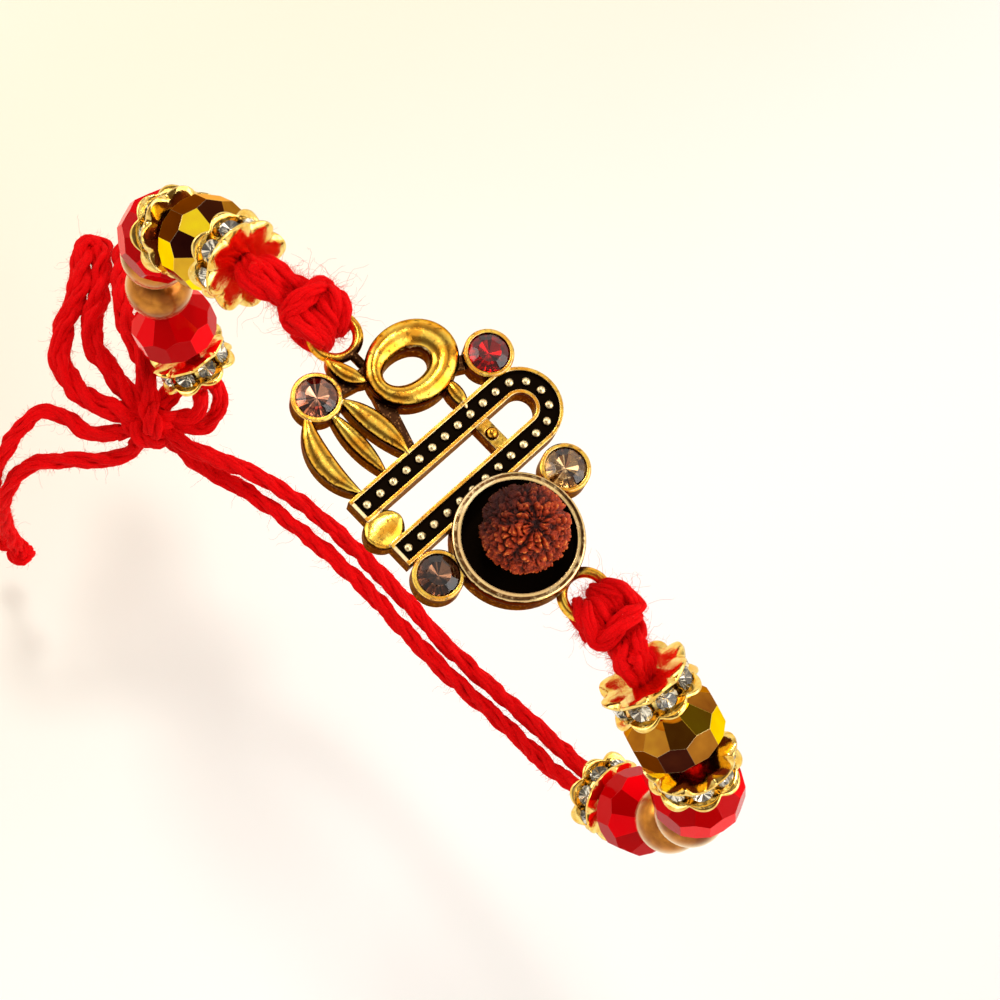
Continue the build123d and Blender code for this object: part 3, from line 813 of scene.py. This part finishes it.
# The string of beads
def joint_place(index, side):
    """Where one bead of a side ends and the next begins."""
    x, z = JOINTS[index]
    return Vector((side * x, 0, z))


def bead_place(index, side):
    """Where a bead of one side goes: its hole along Z, its middle at the origin."""
    start = joint_place(index, side)
    end = joint_place(index + 1, side)
    middle = (start + end) / 2
    along = (end - start).normalized()
    across = Vector((0, 1, 0))
    turn = Matrix((across, along.cross(across), along)).transposed().to_4x4()
    return Matrix.Translation(middle) @ turn @ Matrix.Rotation(math.radians(SPINS[index]), 4, "Z")


def string_ends(side):
    """The ends of one side's string and the ways out of its first and last bead."""
    first = joint_place(0, side)
    last = joint_place(-1, side)
    front_way = (first - joint_place(1, side)).normalized()
    back_way = (last - joint_place(-2, side)).normalized()
    return (first, front_way), (last, back_way)


def string_yarn(side_name, side):
    """The squeezed yarn inside the beads, which stands a little out of the first and the last."""
    out = 1.6
    (first, front_way), (last, back_way) = string_ends(side)
    beads = [joint_place(index, side) for index in range(len(JOINTS))]
    route = [first + front_way * out, *beads, last + back_way * out]
    spun_yarn(
        f"bead_cord_{side_name}", route, YARN_RADIUS["bead_cord"], thickness=swelling,
        pitch=5.0, fuzz=2, curls=0, bundles=4,
    )


def ring_hitch(side_name, side):
    """Two strands from the first bead, hitched round the charm's ring."""
    ring = Vector(YARN_RINGS[side_name])
    (mouth, way), _ = string_ends(side)

    def at(out, over, up):
        return ring + Vector((side * out, over, up))

    for number, over in ((1, -1), (2, 1)):
        route = [
            mouth - way * 1.5 + Vector((0, over * 0.35, 0)),
            mouth - way * 0.2 + Vector((0, over * 0.5, 0)),
            mouth + way * 1.2 + Vector((0, over * 0.9, 0)),
            mouth.lerp(at(4.6, over, 0.1), 0.55) + way * 0.5 + Vector((0, over * 0.1, 0.1)),
            at(4.4, over * 0.95, 0.2),
            at(3.4, over * 0.85, 0.2),
            at(2.5, over * 0.8, 0.75),
            at(1.5, over * 0.72, 0.95),
            at(0.75, over * 0.66, 0.2),
            at(0.7, over * 0.6, -0.9),
        ]
        spun_yarn(
            f"front_yarn_{side_name}_{number}", route, YARN_RADIUS["front_yarn"], thickness=from_hole,
            fuzz=70, curls=7.0, longest=4.6,
        )
    turns = [
        at(2.8, -1.5, -1.4), at(1.5, -1.35, -1.55), at(0.45, -1.0, -0.9), at(0.45, -1.05, 0.6),
        at(1.2, -1.7, 1.45), at(2.3, -2.0, 1.35), at(3.3, -2.1, 0.5), at(3.75, -1.7, 1.2),
        at(3.65, -0.7, 1.8),
    ]
    route = turns + [Vector((place.x, 2 * ring.y - place.y, place.z)) for place in reversed(turns)]
    radius = YARN_RADIUS["yarn_hitch"]
    spun_yarn(f"yarn_hitch_{side_name}", route, radius, pitch=8, fuzz=50, curls=4.5, longest=4.6)


def knot_route(middle, radius, yarn_radius, seed):
    """The turns of a tight round knot, which follow a trefoil."""
    draw = random.Random(seed)
    angle = draw.uniform(0, 6)
    axis = Vector((draw.random(), draw.random(), draw.random() + 0.1))
    turn = Matrix.Rotation(angle, 4, axis)
    reach = radius - yarn_radius
    steps = 30
    route = []
    for step in range(steps + 1):
        angle = 2 * math.pi * step / steps
        out = reach * (0.62 + 0.38 * math.cos(3 * angle))
        height = 0.85 * reach * math.sin(3 * angle)
        place = Vector((out * math.cos(2 * angle), out * math.sin(2 * angle), height))
        route.append(Vector(middle) + turn @ place)
    return route


def inward(route, target, reach):
    """A route that starts a little nearer to a point."""
    start = Vector(route[0])
    return [start + (Vector(target) - start).normalized() * reach, *route]


def tie():
    """The knot with the roots of its free ends, the bow's loops, the back yarn and the free ends."""
    middle = Vector(TIE_KNOT)
    shape = bmesh.new()
    radius = YARN_RADIUS["tie_knot"]
    turns = knot_route(TIE_KNOT, TIE_KNOT_RADIUS, radius, 4)
    add_yarn(shape, "tie_knot", turns, radius, fuzz=10, pitch=5)
    for name, route in TIE_ENDS.items():
        first = Vector(route[0])
        root = [middle, first.lerp(middle, 0.5), first, first.lerp(Vector(route[1]), 0.2)]
        add_yarn(shape, f"{name}_root", root, YARN_RADIUS["tie_end"], fuzz=8)
    smooth(shape)
    finished("tie_knot", shape, [YARN])
    for name, route in BOW_LOOPS.items():
        rooted = inward(inward(route, TIE_KNOT, INTO_KNOT)[::-1], TIE_KNOT, INTO_KNOT)
        spun_yarn(name, rooted, YARN_RADIUS["bow_loop"], fuzz=30, curls=1.5)
    for name, route in BACK_YARN.items():
        rooted = inward(route[::-1], TIE_KNOT, INTO_KNOT)[::-1]
        spun_yarn(name, rooted, YARN_RADIUS["back_yarn"], fuzz=16)
    radius = YARN_RADIUS["end_knot"]
    for name, route in TIE_ENDS.items():
        knot_name = name.replace("tie_end", "end_knot")
        turns = knot_route(END_KNOTS[knot_name], END_KNOT_RADIUS, radius, 9)
        knot, _ = spun_yarn(knot_name, turns, radius, fuzz=10, pitch=5)
        piece, line = spun_yarn(name, route, YARN_RADIUS["tie_end"], fuzz=24, curls=1.5)
        length = sum((after - before).length for before, after in zip(line, line[1:]))
        [point * MM for point in line]


# Beads and cut stones
def cut_stone(shape, place, radius, crown, pavilion, table_share):
    """Adds a cut stone: a table, main, star and girdle facets, and a foiled point below."""
    main_facets = 8
    girdle_facets = 16
    flat = 1e-4
    stone = bmesh.new()
    bmesh.ops.create_circle(stone, cap_ends=True, segments=girdle_facets, radius=radius)
    top = bmesh.ops.extrude_face_region(stone, geom=stone.faces[:])["geom"]
    bmesh.ops.translate(stone, vec=(0, 0, crown), verts=corners(top))
    table = table_share * radius
    rise = math.atan2(crown, radius - table)
    cuts = []
    for step in range(girdle_facets):
        angle = 2 * math.pi * (step + 0.5) / girdle_facets
        cuts.append((angle, rise + 0.22, radius * 0.985, 0.0))
    for step in range(main_facets):
        main_angle = 2 * math.pi * step / main_facets
        star_angle = 2 * math.pi * (step + 0.5) / main_facets
        cuts.append((main_angle, rise, radius * 0.97, 0.02))
        cuts.append((star_angle, rise * 0.62, table * 1.04, crown * 0.97))
    for angle, tilt, reach, height in cuts:
        out = Vector((math.cos(angle), math.sin(angle), 0))
        normal = out * math.sin(tilt) + Vector((0, 0, 1)) * math.cos(tilt)
        geom = stone.verts[:] + stone.edges[:] + stone.faces[:]
        cut = bmesh.ops.bisect_plane(
            stone, geom=geom, dist=1e-5, plane_co=out * reach + Vector((0, 0, height)), plane_no=normal,
            clear_outer=True,
        )["geom_cut"]
        bmesh.ops.holes_fill(stone, edges=[e for e in cut if isinstance(e, bmesh.types.BMEdge)], sides=0)
    level = [face for face in stone.faces if abs(face.calc_center_median().z) < flat]
    base = [face for face in level if face.normal.z < -0.9]
    bmesh.ops.poke(stone, faces=base)
    for vertex in stone.verts:
        if vertex.co.length < flat:
            vertex.co.z = -pavilion
    for face in stone.faces:
        face.smooth = False
        face.material_index = 1 if face.calc_center_median().z < -flat else 0
    bmesh.ops.recalc_face_normals(stone, faces=stone.faces)
    bmesh.ops.transform(stone, matrix=place, verts=stone.verts)
    mesh = bpy.data.meshes.new("stone")
    stone.to_mesh(mesh)
    stone.free()
    shape.from_mesh(mesh)
    bpy.data.meshes.remove(mesh)


def pearl(label, index, side):
    """Smooth ball whose hole is open at both ends."""
    hole_depth = 1.4
    shape = bmesh.new()
    bmesh.ops.create_uvsphere(shape, u_segments=48, v_segments=32, radius=PEARL_RADIUS)
    poles = [vertex for vertex in shape.verts if Vector(vertex.co.xy).length < HOLE_RADIUS]
    bmesh.ops.delete(shape, geom=poles, context="VERTS")
    for end in (1, -1):
        rim = [edge for edge in shape.edges if edge.is_boundary and edge.verts[0].co.z * end > 0]
        sunk = bmesh.ops.extrude_edge_only(shape, edges=rim)["geom"]
        bmesh.ops.translate(shape, vec=(0, 0, -hole_depth * end), verts=corners(sunk))
    bmesh.ops.recalc_face_normals(shape, faces=shape.faces)
    smooth(shape, 50)
    bmesh.ops.transform(shape, matrix=bead_place(index, side), verts=shape.verts)
    finished(f"pearl_{label}", shape, [PEARL])


def rondelle_rims(label, index, side):
    """The spacer's two wavy gold rims, which bend round its stones, on their common core."""
    wave_start = 2.6
    wave_width = 1.4
    wave_depth = 0.62
    wave_inset = 0.13
    shape = bmesh.new()
    verts = [shape.verts.new((x, 0, z)) for x, z in RONDELLE_PROFILE]
    edges = [shape.edges.new(pair) for pair in zip(verts, verts[1:] + verts[:1])]
    bmesh.ops.spin(
        shape, geom=verts + edges, cent=(0, 0, 0), axis=(0, 0, 1), angle=2 * math.pi, steps=128,
        use_merge=True,
    )
    bmesh.ops.remove_doubles(shape, verts=shape.verts, dist=1e-4)
    bmesh.ops.recalc_face_normals(shape, faces=shape.faces)
    for vertex in shape.verts:
        reach = Vector(vertex.co.xy).length
        angle = math.atan2(vertex.co.y, vertex.co.x)
        wave = 1 - (math.cos(STONES_ROUND * angle / 2) ** 2 + 0.012) ** 0.36
        outer = max(0.0, min(1.0, (reach - wave_start) / wave_width))
        end = 1 if vertex.co.z > 0 else -1
        vertex.co.z -= end * wave_depth * wave * outer ** 1.6
        stretch = 1 - wave_inset * wave * outer
        vertex.co.x *= stretch
        vertex.co.y *= stretch
    smooth(shape, 60)
    bmesh.ops.transform(shape, matrix=bead_place(index, side), verts=shape.verts)
    finished(f"rondelle_{label}", shape, [RIM])


def rondelle_stones(label, index, side):
    """The stones between a spacer's rims."""
    stone_reach = 3.08
    outward = Matrix.Translation((stone_reach, 0, 0)) @ Matrix.Rotation(math.pi / 2, 4, "Y")
    place = bead_place(index, side)
    shape = bmesh.new()
    for stone in range(STONES_ROUND):
        seat = Matrix.Rotation(2 * math.pi * stone / STONES_ROUND, 4, "Z") @ outward
        cut_stone(shape, place @ seat, radius=0.98, crown=0.42, pavilion=0.5, table_share=0.62)
    finished(f"rondelle_stones_{label}", shape, [CLEAR_GLASS, CLEAR_FOIL])


# The charm
def arc_rise(length, sagitta, run):
    """Height over its chord of an arc, at a run along the chord."""
    if abs(sagitta) < 1e-6:
        return 0.0
    radius = (length * length / 4 + sagitta * sagitta) / (2 * abs(sagitta))
    rise = math.sqrt(max(0.0, radius ** 2 - (run - length / 2) ** 2)) - (radius - abs(sagitta))
    return math.copysign(rise, sagitta)


def domed(shape, rows, closed=False):
    """Skin over rows of points."""
    made = [[shape.verts.new(point) for point in row] for row in rows]
    pairs = zip(made, made[1:] + made[:1]) if closed else zip(made, made[1:])
    for before, after in pairs:
        for index in range(len(before) - 1):
            shape.faces.new((before[index], before[index + 1], after[index + 1], after[index]))


def leaf_dome(shape, leaf):
    """Rounded top of a leaf, over its flat one."""
    steps = 40
    parts = 16
    sunk = 0.28
    rise = 0.56
    full_half_width = 0.7
    start = Vector(leaf.start)
    end = Vector(leaf.end)
    length = (end - start).length
    way = (end - start) / length
    side = Vector((-way.y, way.x))
    rows = []
    for step in range(steps + 1):
        run = length * (0.5 - 0.5 * math.cos(math.pi * step / steps))
        left = arc_rise(length, leaf.bow + leaf.width / 2, run)
        right = arc_rise(length, leaf.bow - leaf.width / 2, run)
        half = max(0.0, (left - right) / 2)
        swell = min(1.0, half / full_half_width) ** 0.6
        row = []
        for part in range(parts + 1):
            across = -math.cos(math.pi * part / parts)
            place = start + way * run + side * ((left + right) / 2 - across * half * 0.99)
            lift = leaf.top - sunk + rise * swell * math.sqrt(max(0.0, 1 - across ** 2))
            row.append((place.x, place.y, CHARM_FACE + lift))
        rows.append(row)
    domed(shape, rows)


def ring_dome(shape):
    """Half-round band over the oval ring."""
    steps = 96
    parts = 16
    sunk = 0.26
    rise = 0.88
    outside = (3.55, 4.15)
    hole_reach = (1.32, 2.1)
    hole_drop = 0.6225
    tilt = math.radians(-8)
    rows = []
    for step in range(steps):
        angle = 2 * math.pi * step / steps
        outer = Vector((outside[0] * math.cos(angle), outside[1] * math.sin(angle)))
        hole = Vector((hole_reach[0] * math.cos(angle), hole_reach[1] * math.sin(angle)))
        inner = Vector((
            hole.x * math.cos(tilt) - hole.y * math.sin(tilt),
            hole.x * math.sin(tilt) + hole.y * math.cos(tilt) - hole_drop,
        ))
        row = []
        for part in range(parts + 1):
            across = -math.cos(math.pi * part / parts) * 0.99
            place = outer.lerp(inner, 0.5 + 0.5 * across)
            lift = -sunk + rise * math.sqrt(max(0.0, 1 - across ** 2))
            row.append((place.x + OVAL_RING[0], place.y + OVAL_RING[1], CHARM_FACE + lift))
        rows.append(row)
    domed(shape, rows, closed=True)


def charm():
    """The casting, with rounded tops on its leaves and its oval ring."""
    shape = bmesh.new()
    shape.from_mesh(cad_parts["charm"].data)
    bmesh.ops.scale(shape, vec=(1 / MM, 1 / MM, 1 / MM), verts=shape.verts)
    bmesh.ops.remove_doubles(shape, verts=shape.verts, dist=0.001)
    for leaf in LEAVES:
        leaf_dome(shape, leaf)
    ring_dome(shape)
    smooth(shape, 32)
    finished("charm", shape, [CASTING])


def stirred(place):
    """Three noise values at a place, as a vector."""
    return Vector([noise.noise(place + Vector((shift, 0, 0))) for shift in (0, 31.4, 62.8)])


def rudraksha():
    """Wrinkled seed with five clefts from pole to pole."""
    clefts = 5
    core_radius = 3.0
    wrinkle_height = 0.68
    shape = bmesh.new()
    bmesh.ops.create_icosphere(shape, subdivisions=7, radius=1.0)
    depth = shape.verts.layers.float.new("height")
    pole = Vector((0.18, -0.04, 0.98)).normalized()
    turn = Vector((0, 0, 1)).rotation_difference(pole).to_matrix().to_4x4()
    for vertex in shape.verts:
        way = vertex.co.normalized()
        angle = math.atan2(way.y, way.x) + 0.25 * noise.noise(way * 2.2)
        polar = math.acos(max(-1.0, min(1.0, way.z)))
        from_cleft = abs((angle * clefts / (2 * math.pi)) % 1 - 0.5) * 2
        cleft = max(0.0, 1 - (1 - from_cleft) * math.sin(polar) * 2 * math.pi / clefts * 3.4 / 0.6)
        bent = way + 0.12 * stirred(way * 4)
        cells = noise.voronoi(bent * 4.3)[0]
        crease = min(1.0, (cells[1] - cells[0]) * 3.0)
        fine_cells = noise.voronoi(bent * 8.5 + Vector((2, 5, 1)))[0]
        fine_crease = min(1.0, (fine_cells[1] - fine_cells[0]) * 2.6)
        ray = 0.5 + 0.5 * math.sin(18 * angle + 6 * noise.noise(way * 3))
        near_pole = max(0.0, 1 - polar / 0.9)
        height = 0.5 * crease + 0.32 * fine_crease + 0.18 + 0.5 * (ray - 0.6) * near_pole
        height *= 1 - 0.6 * cleft
        pit = max(0.0, 1 - polar / 0.12)
        height *= 1 - pit
        vertex[depth] = height
        vertex.co = way * (core_radius + wrinkle_height * height)
    smooth(shape)
    bmesh.ops.transform(shape, matrix=Matrix.Translation(SEED_MIDDLE) @ turn, verts=shape.verts)
    finished("rudraksha_bead", shape, [SEED])


def charm_stones():
    """The four stones in the charm's bezels, each of tinted glass over its own foil."""
    glass = {slot: cut_glass(f"{slot}_glass", tint) for slot, tint in GLASS_TINTS.items()}
    turn = Matrix.Rotation(math.radians(11), 4, "Z")
    for stone in CHARM_STONES:
        shape = bmesh.new()
        seat = Matrix.Translation((stone.x, stone.y, CHARM_FACE + 0.05)) @ turn
        cut_stone(shape, seat, radius=1.7, crown=0.5, pavilion=0.62, table_share=0.56)
        materials = [glass[stone.slot], foil(stone.foil, stone.dark, stone.bright)]
        finished(stone.name, shape, materials)


# The crystals
def coat_crystals():
    """Gives the crystals, whose shapes stay as they are, their materials."""
    coats = {"gold_crystal": bronze_crystal(), "red_crystal": red_crystal()}
    for name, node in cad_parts.items():
        for kind, material in coats.items():
            if name.startswith(kind):
                node.data.materials.clear()
                node.data.materials.append(material)


aim_camera()
light_studio()
lay_floor()
YARN = red_yarn()
CASTING = antique_gold()
RIM = bright_gold()
PEARL = bronze_pearl()
SEED = seed_skin()
CLEAR_GLASS = cut_glass("clear_stone_glass", (0.97, 0.97, 0.96, 1))
CLEAR_FOIL = foil("clear_stone_foil", (0.12, 0.09, 0.05, 1), (1.0, 0.94, 0.78, 1))

tie()
for side_name, side in SIDES.items():
    string_yarn(side_name, side)
    ring_hitch(side_name, side)
    for number, index in enumerate(PEARLS, start=1):
        pearl(f"{side_name}_{number}", index, side)
    for number, index in enumerate(RONDELLES, start=1):
        rondelle_rims(f"{side_name}_{number}", index, side)
        rondelle_stones(f"{side_name}_{number}", index, side)
charm()
rudraksha()
charm_stones()
coat_crystals()
